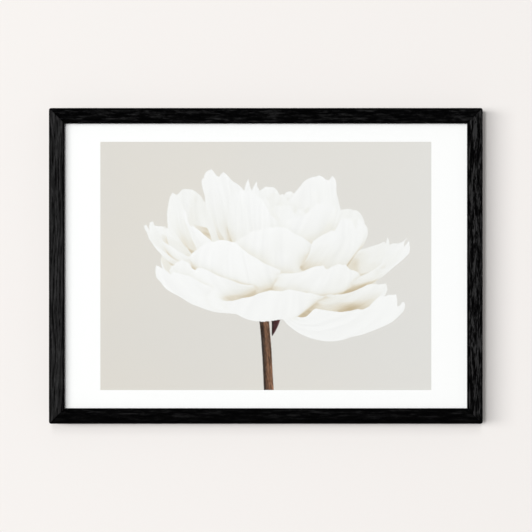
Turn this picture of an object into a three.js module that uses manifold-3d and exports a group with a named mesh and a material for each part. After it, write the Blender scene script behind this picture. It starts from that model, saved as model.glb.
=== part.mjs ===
// A framed print for a wall, landscape, holding one A3 sheet.
//
// Four mitred rails of black-stained wood make the frame. Each rail is an L in section: a lip at the front
// holds the glass, and the rebate behind it takes, from front to back, the glass, the printed sheet and the
// backing board. Bendable steel points pressed into the rebate wall hold that stack in. Steel wedges pressed
// in from the back lock each mitre. Two strap hangers, each with a D-shaped ring that swings, and two rubber
// bumpers are the only things that touch the wall.
//
// Millimetres. +X is right as seen from the front, +Z is up and the picture faces -Y.
// The origin is the centre of the frame's outline, on the wall plane that the bumpers and hangers touch.

import * as THREE from "three";
import { mergeVertices } from "three/addons/utils/BufferGeometryUtils.js";
import Module from "manifold-3d";

const wasm = await Module();
wasm.setup();

// ---------------------------------------------------------------- driving dimensions

const SIGHT_WIDTH = 410; // the opening that shows from the front
const SIGHT_HEIGHT = 290;
const FACE = 15.7; // a rail's width, seen from the front
const RAIL_DEPTH = 22; // a rail's size from front to back
const LIP_WIDTH = 6; // how far the lip covers the stack
const LIP_DEPTH = 4; // the lip's thickness from front to back
const CORNER_RADIUS = 2.6; // the frame's outer corners, seen from the front
const FRONT_ARRIS = 1.1; // the rounded front edge on the outside
const INNER_ARRIS = 0.7; // the rounded front edge on the inside
const BACK_ARRIS = 0.6; // the rounded back edge on the outside
const MITRE_GAP = 0.1; // the hairline between two rails

const FIT = 0.1; // between things that lie on each other
const GLASS_THICKNESS = 2;
const SHEET_THICKNESS = 0.3;
const BOARD_THICKNESS = 3;
const SHEET_WIDTH = 420; // A3
const SHEET_HEIGHT = 297;
const REBATE_SLACK = 0.5; // round the glass and the board

const POINT_WIDTH = 6; // the bendable steel points
const POINT_THICKNESS = 0.5;
const POINT_IN = 6.5; // how far one goes into the wood
const POINT_OUT = 10; // how far one stands out over the board
const POINTS_ON_LONG_RAIL = [-140, 0, 140]; // from the middle of the rail
const POINTS_ON_SHORT_RAIL = [-60, 60];

const WEDGE_HEIGHT = 7; // the steel wedges in the mitres
const WEDGE_THICKNESS = 0.6;
const WEDGE_SPREAD = 3; // a leg's reach to each side of the mitre
const WEDGE_LENGTH = 3; // from its point to its leg ends, along the mitre
const WEDGE_GAP = 0.3; // between the two in one mitre, and from the back face
const SLOT_FIT = 0.15; // round a wedge or a point in the wood

const HANGER_X = 214.6; // the strap's centre line
const HANGER_Z = 88; // the ring's hinge axis
const WIRE_RADIUS = 1;
const RING_HALF_WIDTH = 4.9; // to the wire's centre line
const RING_REACH = 9.4; // hinge axis to the far side of the ring, on the wire's centre line
const RING_CORNER = 1.8;
const RING_GAP = 0.3; // where the wire ends meet, inside the eye
const STRAP_WIDTH = 6.6;
const STRAP_GAUGE = 0.8; // the strap is this strip folded double
const STRAP_BORE = 1.2; // the rolled eye's inner radius
const STRAP_LENGTH = 15; // hinge axis to the strap's end
const SCREW_DROP = 10.6; // hinge axis to the screw
const SCREW_HEAD_RADIUS = 2.7;
const SCREW_HEAD_HEIGHT = 1.3;
const SCREW_RADIUS = 1.25;
const SCREW_LENGTH = 10;

const BUMPER_RADIUS = 4;
const BUMPER_X = 196;

// ---------------------------------------------------------------- worked out from those

const OUTER_WIDTH = SIGHT_WIDTH + 2 * FACE;
const OUTER_HEIGHT = SIGHT_HEIGHT + 2 * FACE;
const WALL = FACE - LIP_WIDTH; // the wood beside the rebate, which is also the back face's width
const EYE_RADIUS = STRAP_BORE + STRAP_GAUGE;
const TAIL_THICKNESS = 2 * STRAP_GAUGE;
const STAND_OFF = FIT + 2 * EYE_RADIUS; // the wood's back to the wall plane, which the eyes touch
const BACK_Y = -STAND_OFF;
const FRONT_Y = BACK_Y - RAIL_DEPTH;
const LIP_Y = FRONT_Y + LIP_DEPTH;
const GLASS_Y = LIP_Y + FIT;
const SHEET_Y = GLASS_Y + GLASS_THICKNESS + FIT;
const BOARD_Y = SHEET_Y + SHEET_THICKNESS + FIT;
const POINT_Y = BOARD_Y + BOARD_THICKNESS + FIT;
const PANEL_WIDTH = OUTER_WIDTH - 2 * WALL - 2 * REBATE_SLACK; // the glass and the board
const PANEL_HEIGHT = OUTER_HEIGHT - 2 * WALL - 2 * REBATE_SLACK;

// ---------------------------------------------------------------- finishes

function finish(color, roughness, metalness) {
  return new THREE.MeshStandardMaterial({ color, roughness, metalness });
}

const BLACK_WOOD = finish(0x17171a, 0.55, 0);
const CLEAR_GLASS = finish(0xf4f8f7, 0.04, 0);
CLEAR_GLASS.transparent = true;
CLEAR_GLASS.opacity = 0.2;
const WHITE_PAPER = finish(0xfafaf8, 0.85, 0);
const FIBREBOARD = finish(0x9c7a55, 0.85, 0);
const DARK_STEEL = finish(0x3c3d40, 0.45, 0.9);
const BRIGHT_STEEL = finish(0xb9bbbd, 0.3, 1);
const RUBBER = finish(0x1b1b1c, 0.8, 0);

// ---------------------------------------------------------------- making and cutting solids

/** A closed three.js geometry as a solid that can be joined and cut. */
function solid(geometry) {
  geometry.deleteAttribute("normal");
  geometry.deleteAttribute("uv");
  const merged = mergeVertices(geometry, 1e-4);
  return new wasm.Manifold(
    new wasm.Mesh({
      numProp: 3,
      vertProperties: new Float32Array(merged.attributes.position.array),
      triVerts: new Uint32Array(merged.index.array),
    }),
  );
}

/** Adds a solid to a group as a named piece. */
function addPiece(group, name, made, material) {
  const { vertProperties, triVerts } = made.getMesh();
  const geometry = new THREE.BufferGeometry();
  geometry.setAttribute("position", new THREE.BufferAttribute(vertProperties, 3));
  geometry.setIndex(new THREE.BufferAttribute(triVerts, 1));
  geometry.computeVertexNormals();
  const mesh = new THREE.Mesh(geometry, material);
  mesh.name = name;
  group.add(mesh);
}

/** A shape of x across and z up, as seen from the front, filled from yFront back to yBack. */
function plate(shape, yFront, yBack, curveSegments = 8) {
  const depth = yBack - yFront;
  const geometry = new THREE.ExtrudeGeometry(shape, { depth, bevelEnabled: false, curveSegments });
  return solid(geometry.rotateX(Math.PI / 2).translate(0, yBack, 0));
}

/** A section of y and z drawn out along X, its middle at x = 0. */
function bar(section, length, curveSegments) {
  const geometry = new THREE.ExtrudeGeometry(section, { depth: length, bevelEnabled: false, curveSegments });
  const sectionToYZ = new THREE.Matrix4().makeBasis(
    new THREE.Vector3(0, 1, 0),
    new THREE.Vector3(0, 0, 1),
    new THREE.Vector3(1, 0, 0),
  );
  return solid(geometry.applyMatrix4(sectionToYZ).translate(-length / 2, 0, 0));
}

function block(x0, x1, y0, y1, z0, z1) {
  const geometry = new THREE.BoxGeometry(x1 - x0, y1 - y0, z1 - z0);
  return solid(geometry.translate((x0 + x1) / 2, (y0 + y1) / 2, (z0 + z1) / 2));
}

/** A profile of [radius, y] points turned round an axis along Y, at x and z. */
function turned(profile, x, z, segments = 28) {
  const points = profile.map(([radius, y]) => new THREE.Vector2(radius, y));
  return solid(new THREE.LatheGeometry(points, segments).translate(x, 0, z));
}

function polygon(points) {
  return new THREE.Shape(points.map(([x, z]) => new THREE.Vector2(x, z)));
}

// ---------------------------------------------------------------- one side of the frame
//
// Every side is built as the bottom one, along X, and its group is turned about Y to its own place.
// A side is its rail, the steel points in it, and the two wedges of the mitre at its left end.

/** The rail's section, as y and the height above the rail's outer edge. */
function railSection() {
  const shape = new THREE.Shape();
  shape.moveTo(FRONT_Y + FRONT_ARRIS, 0);
  shape.lineTo(BACK_Y - BACK_ARRIS, 0);
  shape.absarc(BACK_Y - BACK_ARRIS, BACK_ARRIS, BACK_ARRIS, -Math.PI / 2, 0);
  shape.lineTo(BACK_Y, WALL);
  shape.lineTo(LIP_Y, WALL);
  shape.lineTo(LIP_Y, FACE);
  shape.lineTo(FRONT_Y + INNER_ARRIS, FACE);
  shape.absarc(FRONT_Y + INNER_ARRIS, FACE - INNER_ARRIS, INNER_ARRIS, Math.PI / 2, Math.PI);
  shape.lineTo(FRONT_Y, FRONT_ARRIS);
  shape.absarc(FRONT_Y + FRONT_ARRIS, FRONT_ARRIS, FRONT_ARRIS, Math.PI, 1.5 * Math.PI);
  return shape;
}

/** What the rail keeps between its mitres, seen from the front, with its two outer corners rounded. */
function mitreOutline(length) {
  const setBack = MITRE_GAP / Math.SQRT2;
  const round = CORNER_RADIUS;
  const middle = round * Math.SQRT1_2; // from the round's centre to its middle, along x and z
  const half = length / 2;
  const shape = new THREE.Shape();
  shape.moveTo(half - round, 0);
  shape.absarc(half - round, round, round, -Math.PI / 2, -Math.PI / 4);
  shape.lineTo(half - round + middle - setBack, round - middle);
  shape.lineTo(half - FACE - 1 - setBack, FACE + 1);
  shape.lineTo(-half + FACE + 1 + setBack, FACE + 1);
  shape.lineTo(-half + round - middle + setBack, round - middle);
  shape.absarc(-half + round, round, round, -0.75 * Math.PI, -Math.PI / 2);
  return shape;
}

/** A wedge's section: a chevron astride the mitre at one end. fit makes it larger all round, for its slot. */
function wedgeOutline(length, end, fit) {
  const middle = WALL / 2;
  const place = (along, aside) => [
    end * (length / 2 - middle) + (end * along + aside) * Math.SQRT1_2,
    middle + (-along + end * aside) * Math.SQRT1_2,
  ];
  const tip = WEDGE_LENGTH / 2;
  const wide = WEDGE_SPREAD + fit;
  const thick = WEDGE_THICKNESS + fit;
  return polygon([
    place(tip + thick, 0),
    place(thick - tip, wide),
    place(-fit - tip, wide),
    place(tip - fit, 0),
    place(-fit - tip, -wide),
    place(thick - tip, -wide),
  ]);
}

/** A steel point: a strip with a sharp end in the wood and a rounded end over the board. */
function pointOutline(x) {
  const half = POINT_WIDTH / 2;
  const [bottom, top] = [WALL - POINT_IN, WALL + POINT_OUT];
  const round = 2;
  const sharp = 2.5;
  const shape = new THREE.Shape();
  shape.moveTo(x, bottom);
  shape.lineTo(x + half, bottom + sharp);
  shape.lineTo(x + half, top - round);
  shape.absarc(x + half - round, top - round, round, 0, Math.PI / 2);
  shape.lineTo(x - half + round, top);
  shape.absarc(x - half + round, top - round, round, Math.PI / 2, Math.PI);
  shape.lineTo(x - half, bottom + sharp);
  return shape;
}

function pointSlot(x) {
  const half = POINT_WIDTH / 2 + SLOT_FIT;
  const [yFront, yBack] = [POINT_Y - SLOT_FIT, POINT_Y + POINT_THICKNESS + SLOT_FIT];
  return block(x - half, x + half, yFront, yBack, WALL - POINT_IN - SLOT_FIT, WALL + 1);
}

/** The hole that a hanger's screw goes into, at x along the rail. */
function screwHole(x) {
  const radius = SCREW_RADIUS + SLOT_FIT;
  const [bottom, top] = [BACK_Y - SCREW_LENGTH - SLOT_FIT, BACK_Y + 1];
  return turned([[0, bottom], [radius, bottom], [radius, top], [0, top]], x, OUTER_WIDTH / 2 - HANGER_X);
}

function makeSide({ name, corner, turns, length, reach, points, screwAt }) {
  const side = new THREE.Group();
  side.rotation.y = (turns * Math.PI) / 2;
  // Built with the rail's outer edge at z = 0, then let down to the frame's edge.
  const built = new THREE.Group();
  built.position.z = -reach;
  side.add(built);

  let rail = bar(railSection(), length, 5).intersect(plate(mitreOutline(length), FRONT_Y - 1, BACK_Y + 1, 5));
  const slotFront = BACK_Y - 2 * (WEDGE_HEIGHT + WEDGE_GAP) - SLOT_FIT;
  for (const end of [-1, 1]) {
    rail = rail.subtract(plate(wedgeOutline(length, end, SLOT_FIT), slotFront, BACK_Y + 1));
  }
  for (const x of points) rail = rail.subtract(pointSlot(x));
  for (const x of screwAt) rail = rail.subtract(screwHole(x));
  addPiece(built, `rail_${name}`, rail, BLACK_WOOD);

  points.forEach((x, i) => {
    const strip = plate(pointOutline(x), POINT_Y, POINT_Y + POINT_THICKNESS, 5);
    addPiece(built, `steel_point_${name}_${i + 1}`, strip, DARK_STEEL);
  });
  ["back", "front"].forEach((place, i) => {
    const yBack = BACK_Y - WEDGE_GAP - i * (WEDGE_HEIGHT + WEDGE_GAP);
    const wedge = plate(wedgeOutline(length, -1, 0), yBack - WEDGE_HEIGHT, yBack);
    addPiece(built, `mitre_wedge_${corner}_${place}`, wedge, DARK_STEEL);
  });
  return side;
}

// ---------------------------------------------------------------- glass, sheet and board

function addPanel(group, name, width, height, yFront, thickness, material) {
  const panel = block(-width / 2, width / 2, yFront, yFront + thickness, -height / 2, height / 2);
  addPiece(group, name, panel, material);
}

function makeStack() {
  const stack = new THREE.Group();
  addPanel(stack, "glass_pane", PANEL_WIDTH, PANEL_HEIGHT, GLASS_Y, GLASS_THICKNESS, CLEAR_GLASS);
  addPanel(stack, "print_sheet", SHEET_WIDTH, SHEET_HEIGHT, SHEET_Y, SHEET_THICKNESS, WHITE_PAPER);
  addPanel(stack, "backing_board", PANEL_WIDTH, PANEL_HEIGHT, BOARD_Y, BOARD_THICKNESS, FIBREBOARD);
  return stack;
}

// ---------------------------------------------------------------- one hanger
//
// Built with the ring's hinge axis at x = 0, z = 0. The ring stands up, as the wall hook holds it.

const EYE_Y = BACK_Y + FIT + EYE_RADIUS; // the ring's hinge axis
const TAIL_Y = BACK_Y + FIT + TAIL_THICKNESS; // the tail's outer face

/** A strip folded round the ring's bar: a rolled eye with a double tail, as y and z. */
function strapSection() {
  const meetZ = Math.sqrt(EYE_RADIUS ** 2 - (TAIL_Y - EYE_Y) ** 2); // where the tail runs into the eye
  const shape = new THREE.Shape();
  shape.moveTo(BACK_Y + FIT, -STRAP_LENGTH);
  shape.lineTo(TAIL_Y, -STRAP_LENGTH);
  shape.lineTo(TAIL_Y, -meetZ);
  shape.absarc(EYE_Y, 0, EYE_RADIUS, Math.atan2(-meetZ, TAIL_Y - EYE_Y), Math.PI);
  const bore = new THREE.Path();
  bore.absarc(EYE_Y, 0, STRAP_BORE, 0, 2 * Math.PI);
  shape.holes.push(bore);
  return shape;
}

/** The strap seen from the back, with its round end. */
function strapOutline() {
  const half = STRAP_WIDTH / 2;
  const shape = new THREE.Shape();
  shape.moveTo(half, STRAP_LENGTH);
  shape.lineTo(-half, STRAP_LENGTH);
  shape.lineTo(-half, half - STRAP_LENGTH);
  shape.absarc(0, half - STRAP_LENGTH, half, Math.PI, 2 * Math.PI);
  return shape;
}

function strap() {
  const radius = SCREW_RADIUS + SLOT_FIT;
  const hole = turned([[0, BACK_Y], [radius, BACK_Y], [radius, TAIL_Y + 1], [0, TAIL_Y + 1]], 0, -SCREW_DROP);
  return bar(strapSection(), STRAP_WIDTH + 2, 14)
    .intersect(plate(strapOutline(), BACK_Y, 1, 10))
    .subtract(hole);
}

/** A flat path of x and z as a curve in space, at a given y. */
class UprightPath extends THREE.Curve {
  constructor(path, y) {
    super();
    this.path = path;
    this.y = y;
  }

  getPoint(t, target = new THREE.Vector3()) {
    const point = this.path.getPoint(t);
    return target.set(point.x, this.y, point.y);
  }
}

/** The wire's centre line: a straight bar through the eye, closed by a round bow above it. */
function ringPath() {
  const [half, corner] = [RING_HALF_WIDTH, RING_CORNER];
  const bowZ = RING_REACH - half;
  const path = new THREE.Path();
  path.moveTo(RING_GAP / 2, 0);
  path.lineTo(half - corner, 0);
  path.absarc(half - corner, corner, corner, -Math.PI / 2, 0);
  path.lineTo(half, bowZ);
  path.absarc(0, bowZ, half, 0, Math.PI);
  path.lineTo(-half, corner);
  path.absarc(-half + corner, corner, corner, Math.PI, 1.5 * Math.PI);
  path.lineTo(-RING_GAP / 2, 0);
  return path;
}

function ring() {
  const wire = new THREE.Shape().absarc(0, 0, WIRE_RADIUS, 0, 2 * Math.PI);
  const extrudePath = new UprightPath(ringPath(), EYE_Y);
  return solid(new THREE.ExtrudeGeometry(wire, { extrudePath, steps: 64, curveSegments: 6 }));
}

/** A pan-head screw with a cross recess, driven from the back. */
function screw() {
  const seat = TAIL_Y + FIT;
  const sharp = 2.5;
  const [r, h] = [SCREW_HEAD_RADIUS, SCREW_HEAD_HEIGHT];
  const profile = [
    [0, BACK_Y - SCREW_LENGTH],
    [SCREW_RADIUS, BACK_Y - SCREW_LENGTH + sharp],
    [SCREW_RADIUS, seat],
    [r, seat],
    [r, seat + 0.45 * h],
    [0.86 * r, seat + 0.8 * h],
    [0.6 * r, seat + h],
    [0, seat + h],
  ];
  const [long, thin, deep] = [1.5, 0.35, seat + 0.35 * h];
  return turned(profile, 0, -SCREW_DROP)
    .subtract(block(-long, long, deep, 1, -SCREW_DROP - thin, -SCREW_DROP + thin))
    .subtract(block(-thin, thin, deep, 1, -SCREW_DROP - long, -SCREW_DROP + long));
}

function makeHanger(name, x) {
  const hanger = new THREE.Group();
  hanger.position.set(x, 0, HANGER_Z);
  addPiece(hanger, `hanger_strap_${name}`, strap(), BRIGHT_STEEL);
  addPiece(hanger, `hanger_screw_${name}`, screw(), BRIGHT_STEEL);
  addPiece(hanger, `hanger_ring_${name}`, ring(), BRIGHT_STEEL);
  return hanger;
}

// ---------------------------------------------------------------- one bumper

function makeBumper(name, x) {
  const bumper = new THREE.Group();
  bumper.position.set(x, 0, -(OUTER_HEIGHT - WALL) / 2);
  const profile = [
    [0, BACK_Y + FIT],
    [BUMPER_RADIUS, BACK_Y + FIT],
    [BUMPER_RADIUS, BACK_Y + FIT + 1],
    [BUMPER_RADIUS - 0.5, -0.7],
    [BUMPER_RADIUS - 1.2, 0],
    [0, 0],
  ];
  addPiece(bumper, `bumper_${name}`, turned(profile, 0, 0), RUBBER);
  return bumper;
}

// ---------------------------------------------------------------- the framed print

const LONG = { length: OUTER_WIDTH, reach: OUTER_HEIGHT / 2, points: POINTS_ON_LONG_RAIL, screwAt: [] };
const SHORT = { length: OUTER_HEIGHT, reach: OUTER_WIDTH / 2, points: POINTS_ON_SHORT_RAIL };
const SCREW_Z = HANGER_Z - SCREW_DROP;

const framedPrint = new THREE.Group();
framedPrint.add(
  makeSide({ name: "bottom", corner: "bottom_left", turns: 0, ...LONG }),
  makeSide({ name: "left", corner: "top_left", turns: 1, ...SHORT, screwAt: [-SCREW_Z] }),
  makeSide({ name: "top", corner: "top_right", turns: 2, ...LONG }),
  makeSide({ name: "right", corner: "bottom_right", turns: 3, ...SHORT, screwAt: [SCREW_Z] }),
  makeStack(),
  makeHanger("left", -HANGER_X),
  makeHanger("right", HANGER_X),
  makeBumper("left", -BUMPER_X),
  makeBumper("right", BUMPER_X),
);

export default framedPrint;
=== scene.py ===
"""A framed flower print for a wall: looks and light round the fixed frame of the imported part.

Everything is in metres in the part's own frame: +X right, +Z up, the picture facing -Y, the wall at y = 0.
"""

import math

import bmesh
import bpy
import numpy as np
from mathutils import Matrix, Vector
from mathutils.bvhtree import BVHTree
from mathutils.geometry import delaunay_2d_cdt


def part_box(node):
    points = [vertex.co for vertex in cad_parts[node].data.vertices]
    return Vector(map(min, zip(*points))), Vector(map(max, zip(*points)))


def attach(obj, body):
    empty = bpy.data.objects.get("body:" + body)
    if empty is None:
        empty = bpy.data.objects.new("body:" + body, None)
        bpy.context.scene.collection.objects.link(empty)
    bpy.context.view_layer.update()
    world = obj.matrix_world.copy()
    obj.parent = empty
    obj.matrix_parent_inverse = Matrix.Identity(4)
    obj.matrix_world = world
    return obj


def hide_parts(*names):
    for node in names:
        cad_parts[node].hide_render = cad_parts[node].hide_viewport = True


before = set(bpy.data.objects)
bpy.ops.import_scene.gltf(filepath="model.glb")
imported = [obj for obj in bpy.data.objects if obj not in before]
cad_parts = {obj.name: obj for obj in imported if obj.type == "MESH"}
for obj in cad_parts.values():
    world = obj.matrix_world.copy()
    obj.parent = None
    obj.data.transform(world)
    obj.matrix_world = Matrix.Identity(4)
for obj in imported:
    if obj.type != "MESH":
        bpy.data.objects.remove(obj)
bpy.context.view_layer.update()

MM = 0.001
BODY = "frame"

# ---- sizes read from the frame

HALF_WIDTH, HALF_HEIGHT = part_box("rail_right")[1].x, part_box("rail_top")[1].z
FRONT_Y, BACK_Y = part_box("rail_left")[0].y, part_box("rail_left")[1].y
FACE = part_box("rail_left")[1].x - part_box("rail_left")[0].x
GLASS_LOW, GLASS_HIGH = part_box("glass_pane")
SHEET_LOW, SHEET_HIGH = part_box("print_sheet")
BOARD_LOW, BOARD_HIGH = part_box("backing_board")

# ---- sizes that the CAD boxes don't tell

# The rails' section and corners, and the edges of the glass and the board.
LIP_WIDTH = 6 * MM
LIP_DEPTH = 4 * MM
WALL = FACE - LIP_WIDTH
CORNER_RADIUS = 2.6 * MM
FRONT_ARRIS = 1.1 * MM
INNER_ARRIS = 0.7 * MM
BACK_ARRIS = 0.6 * MM
MITRE_SET_BACK = 0.07 * MM
GLASS_ARRIS, BOARD_ARRIS = 0.25 * MM, 0.35 * MM

# The rails' grain.
GRAIN_PITCH = 0.82 * MM  # between the rows of vertices along a rail
PORE_DEPTH = 0.08 * MM
EARLY_WOOD_DEPTH = 0.015 * MM
PLANING_DEPTH = 0.012 * MM
YEAR_WIDTH = 1.5 * MM
PLANK_SHIFT = 31 * MM  # between the places in the plank that two rails are cut from

# Each rail's front: how light it is painted from 0 to 1, how unevenly it took the stain, and how much lighter
# it gets from the outer to the inner edge. The lightness is painted sheen for how the light falls on each
# rail.
PAINTED_LIGHT_AND_STAIN = {
    "bottom": (0.088, 1.0, 0.85),
    "left": (0.97, 0.24, 0),
    "top": (0.172, 1.0, 0),
    "right": (0.78, 1.0, 0),
}
BACK_STAIN, SIDE_STAIN = 0.5, 0.2
HIDDEN_UNEVEN = 0.3

# The wedges in the mitres, and the slots cut for them.
WEDGE_SPREAD, WEDGE_REACH, WEDGE_GAUGE = 3.0 * MM, 3.0 * MM, 0.6 * MM
SLOT_SPREAD, SLOT_GAUGE, SLOT_TIP = 3.25 * MM, 0.75 * MM, 1.5 * MM
SLOT_FIT = 0.15 * MM
SLOT_DEPTH = 15 * MM

# The hangers.
EYE_Y = -2.0 * MM
TAIL_Y = -2.4 * MM
HANGER_X = 214.6 * MM
HANGER_Z = 88 * MM
WIRE_RADIUS = 1.0 * MM
RING_HALF_WIDTH = 4.9 * MM
RING_REACH = 9.4 * MM
RING_CORNER = 1.8 * MM
RING_GAP = 0.3 * MM
STRAP_WIDTH = 6.6 * MM
STRAP_GAUGE = 0.8 * MM
STRAP_BORE = 1.2 * MM
STRAP_LENGTH = 15 * MM
STRAP_EASE = 0.14 * MM
STRAP_TIP = 0.25 * MM  # half the width that its round end starts with
SCREW_DROP = 10.6 * MM
SCREW_HEAD_RADIUS = 2.7 * MM
SCREW_HEAD_HEIGHT = 1.3 * MM
SCREW_RADIUS = 1.25 * MM
SCREW_LENGTH, SCREW_POINT = 8 * MM, 1 * MM
RECESS_LENGTH, RECESS_WIDTH, RECESS_TURN = 3.1 * MM, 0.72 * MM, 24

# ---- the pictured flower, in millimetres

PICTURE_WIDTH = 337.5
PICTURE_HEIGHT = PICTURE_WIDTH * 3 / 4
PICTURE_STEP = 0.5  # the finest step between colours
COARSE_STEPS = 3  # fine steps in a coarse one
ALONG, ACROSS = 46, 29  # a petal's grid, from base to tip and from side to side
PETAL_BASE = 6  # how far from the flower's axis a petal starts
KEY_LIGHT = Vector((-0.35, -0.55, 0.70)).normalized()
FLOWER_PLACE = (3, 0, -35)
FLOWER_NOD = 9  # degrees towards the viewer
FLOWER_LEAN = -5
FLOWER_FLATNESS = 0.88
FLOWER_SEED = 22
STEM_RADIUS = 4.85
STEM_BROWN, SEPAL_RED = [111, 80, 60], [58, 27, 30]
# A petal's sRGB colour at each strength of light.
PETAL_TONES = {
    0: [194, 175, 142],
    0.30: [226, 219, 204],
    0.50: [236.5, 235, 229],
    0.68: [241.5, 241.3, 238.6],
    0.84: [244.7, 244.7, 243.4],
    1.0: [247.5, 247.5, 247.2],
    1.3: [250, 250, 250],
}

# ---- paint, light and view

PAPER_WHITE = 0.98
WALL_PAINT = (0.843, 0.815, 0.794)
FLOOR_PAINT = (0.80, 0.78, 0.76)
FLOOR_Z = -1.3
WALL_GAP = 0.3 * MM
ROOM_X, ROOM_Y, ROOM_Z = 5, 6, 4  # how far the wall and the floor reach
WORLD_LIGHT = 0.135
# Each lamp's azimuth, elevation, distance, width, height and light.
FRONT_LAMPS = {
    "window": (-33, 2, 15.0, 12.3, 4.5, 0.705),
    "overhead": (-2, 19, 12.0, 0.9, 4.9, 0.170),
    "fill": (-12, 4, 12.0, 1.2, 1.2, 0.300),
}
BACK_LAMPS = {
    "back_left": (-140, 30, 4.0, 2.5, 2.0, 0.90),
    "back_right": (130, 12, 4.0, 2.0, 2.0, 0.30),
}
VIEW_WIDTH = 541.0 * MM  # how much the view takes in at the frame's face
VIEW_X, VIEW_Z = 0.18 * MM, -0.09 * MM
LENS, SENSOR = 135, 36


# ---- node trees


def operator(operation, swapped=False):
    """One of Python's operators, as a Math node."""

    def work(self, other):
        first, second = (other, self) if swapped else (self, other)
        return self.tree.node("ShaderNodeMath", {"operation": operation}, {0: first, 1: second})

    return work


class Wire:
    """A socket whose value Python's operators can work on."""

    def __init__(self, tree, socket):
        self.tree = tree
        self.socket = socket

    __add__ = __radd__ = operator("ADD")
    __sub__, __rsub__ = operator("SUBTRACT"), operator("SUBTRACT", swapped=True)
    __mul__ = __rmul__ = operator("MULTIPLY")
    __truediv__, __rtruediv__ = operator("DIVIDE"), operator("DIVIDE", swapped=True)
    __pow__ = operator("POWER")
    either = operator("MAXIMUM")

    def between(self, low, high):
        """0 below low, 1 above high, and smooth from one to the other."""
        inputs = {"Value": self, "From Min": low, "From Max": high}
        return self.tree.node("ShaderNodeMapRange", {"interpolation_type": "SMOOTHSTEP"}, inputs)

    def also(self, name):
        """Another output of the same node."""
        return Wire(self.tree, self.socket.node.outputs[name])


class Tree:
    """A node tree under way."""

    def __init__(self, tree):
        self.tree = tree

    def node(self, kind, settings=None, inputs=None, output=0):
        """Any node: its settings are made first, then its sockets get their values or links."""
        made = self.tree.nodes.new(kind)
        for name, value in (settings or {}).items():
            setattr(made, name, value)
        for key, value in (inputs or {}).items():
            if isinstance(value, Wire):
                self.tree.links.new(value.socket, made.inputs[key])
            else:
                made.inputs[key].default_value = value
        return Wire(self, made.outputs[output])


class Paint(Tree):
    """A material under way."""

    def __init__(self, name):
        self.material = bpy.data.materials.new(name)
        self.material.use_nodes = True
        super().__init__(self.material.node_tree)
        self.tree.nodes.clear()
        self.end = self.tree.nodes.new("ShaderNodeOutputMaterial")

    def place(self):
        return self.node("ShaderNodeTexCoord", output="Object")

    def attribute(self, name, output="Fac"):
        return self.node("ShaderNodeAttribute", {"attribute_name": name}, output=output)

    def light_path(self, name):
        return self.node("ShaderNodeLightPath", output=name)

    def stretched(self, place, stretch):
        """A place with its axes stretched: a larger number makes a pattern finer that way."""
        return self.node("ShaderNodeVectorMath", {"operation": "MULTIPLY"}, {0: place, 1: stretch})

    def noise(self, place, scale, detail=3.0, roughness=0.5):
        """Noise at a place. scale is one number, or one for each axis."""
        if isinstance(scale, tuple):
            place, scale = self.stretched(place, scale), 1.0
        inputs = {"Vector": place, "Scale": scale, "Detail": detail, "Roughness": roughness}
        return self.node("ShaderNodeTexNoise", inputs=inputs)

    def colours(self, factor, first, second):
        """A mix of two colours."""
        first, second = (c if isinstance(c, Wire) else (*c, 1) for c in (first, second))
        return self.node("ShaderNodeMix", {"data_type": "RGBA"}, {0: factor, 6: first, 7: second}, output=2)

    def bump(self, height, distance):
        return self.node("ShaderNodeBump", inputs={"Height": height, "Distance": distance})

    def surface(self, **sockets):
        """A Principled surface. The names of its sockets have their spaces as underscores."""
        inputs = {}
        for name, value in sockets.items():
            inputs[name.replace("_", " ")] = (*value, 1) if isinstance(value, tuple) else value
        return self.node("ShaderNodeBsdfPrincipled", inputs=inputs)

    def clear(self, colour=(1, 1, 1)):
        return self.node("ShaderNodeBsdfTransparent", inputs={"Color": (*colour, 1)})

    def mixed(self, factor, first, second):
        """One surface where the factor is 0, and another where it is 1."""
        return self.node("ShaderNodeMixShader", inputs={0: factor, 1: first, 2: second})

    def done(self, surface):
        self.tree.links.new(surface.socket, self.end.inputs["Surface"])
        return self.material

    def finished(self, **sockets):
        """The material, as one Principled surface."""
        return self.done(self.surface(**sockets))


# ---- materials


def black_wood():
    """Hardwood with open grain, stained black and left matt. Its pores are in the mesh."""
    paint = Paint("black_wood")
    place = paint.attribute("wood_place", "Vector")
    pore = paint.attribute("pore")
    late = paint.attribute("late_wood")
    stain_thin = paint.attribute("stain_thin")
    uneven = paint.attribute("uneven")
    fibre = paint.noise(place, (60, 2600, 1))
    streak = paint.noise(place, (30, 760, 1), detail=4, roughness=0.6)
    cloud = paint.noise(place, (12, 90, 1), detail=2)
    fleck = paint.noise(place, (120, 1500, 1), detail=2).between(0.58, 0.76)
    patch = paint.noise(place, (52, 290, 1), detail=5, roughness=0.78).between(0.40, 0.61)
    worn = streak * 1.1 + cloud * 0.55 + fibre * 0.5 + late * 0.12 - pore * 0.20
    # The tone and the grey flecks follow each rail's painted light: painted sheen that makes a rail's front
    # lighter or darker by how the light falls on it, and painted shade along its edges.
    tone = worn.between(0.75, 1.45) * stain_thin * (1 + uneven * (4.1 * patch**3 - 1))
    colour = paint.colours(tone, (0.0003, 0.0003, 0.0004), (0.0275, 0.0272, 0.0277))
    colour = paint.colours(fleck * 0.30 * stain_thin, colour, (0.044, 0.043, 0.044))
    return paint.finished(
        Base_Color=colour,
        Roughness=0.48 + pore * 0.24 + fibre * 0.10,
        Normal=paint.bump(fibre * 0.6 + streak * 0.2 - pore * 0.4, 0.07 * MM),
        Specular_IOR_Level=0.04,
    )


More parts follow.
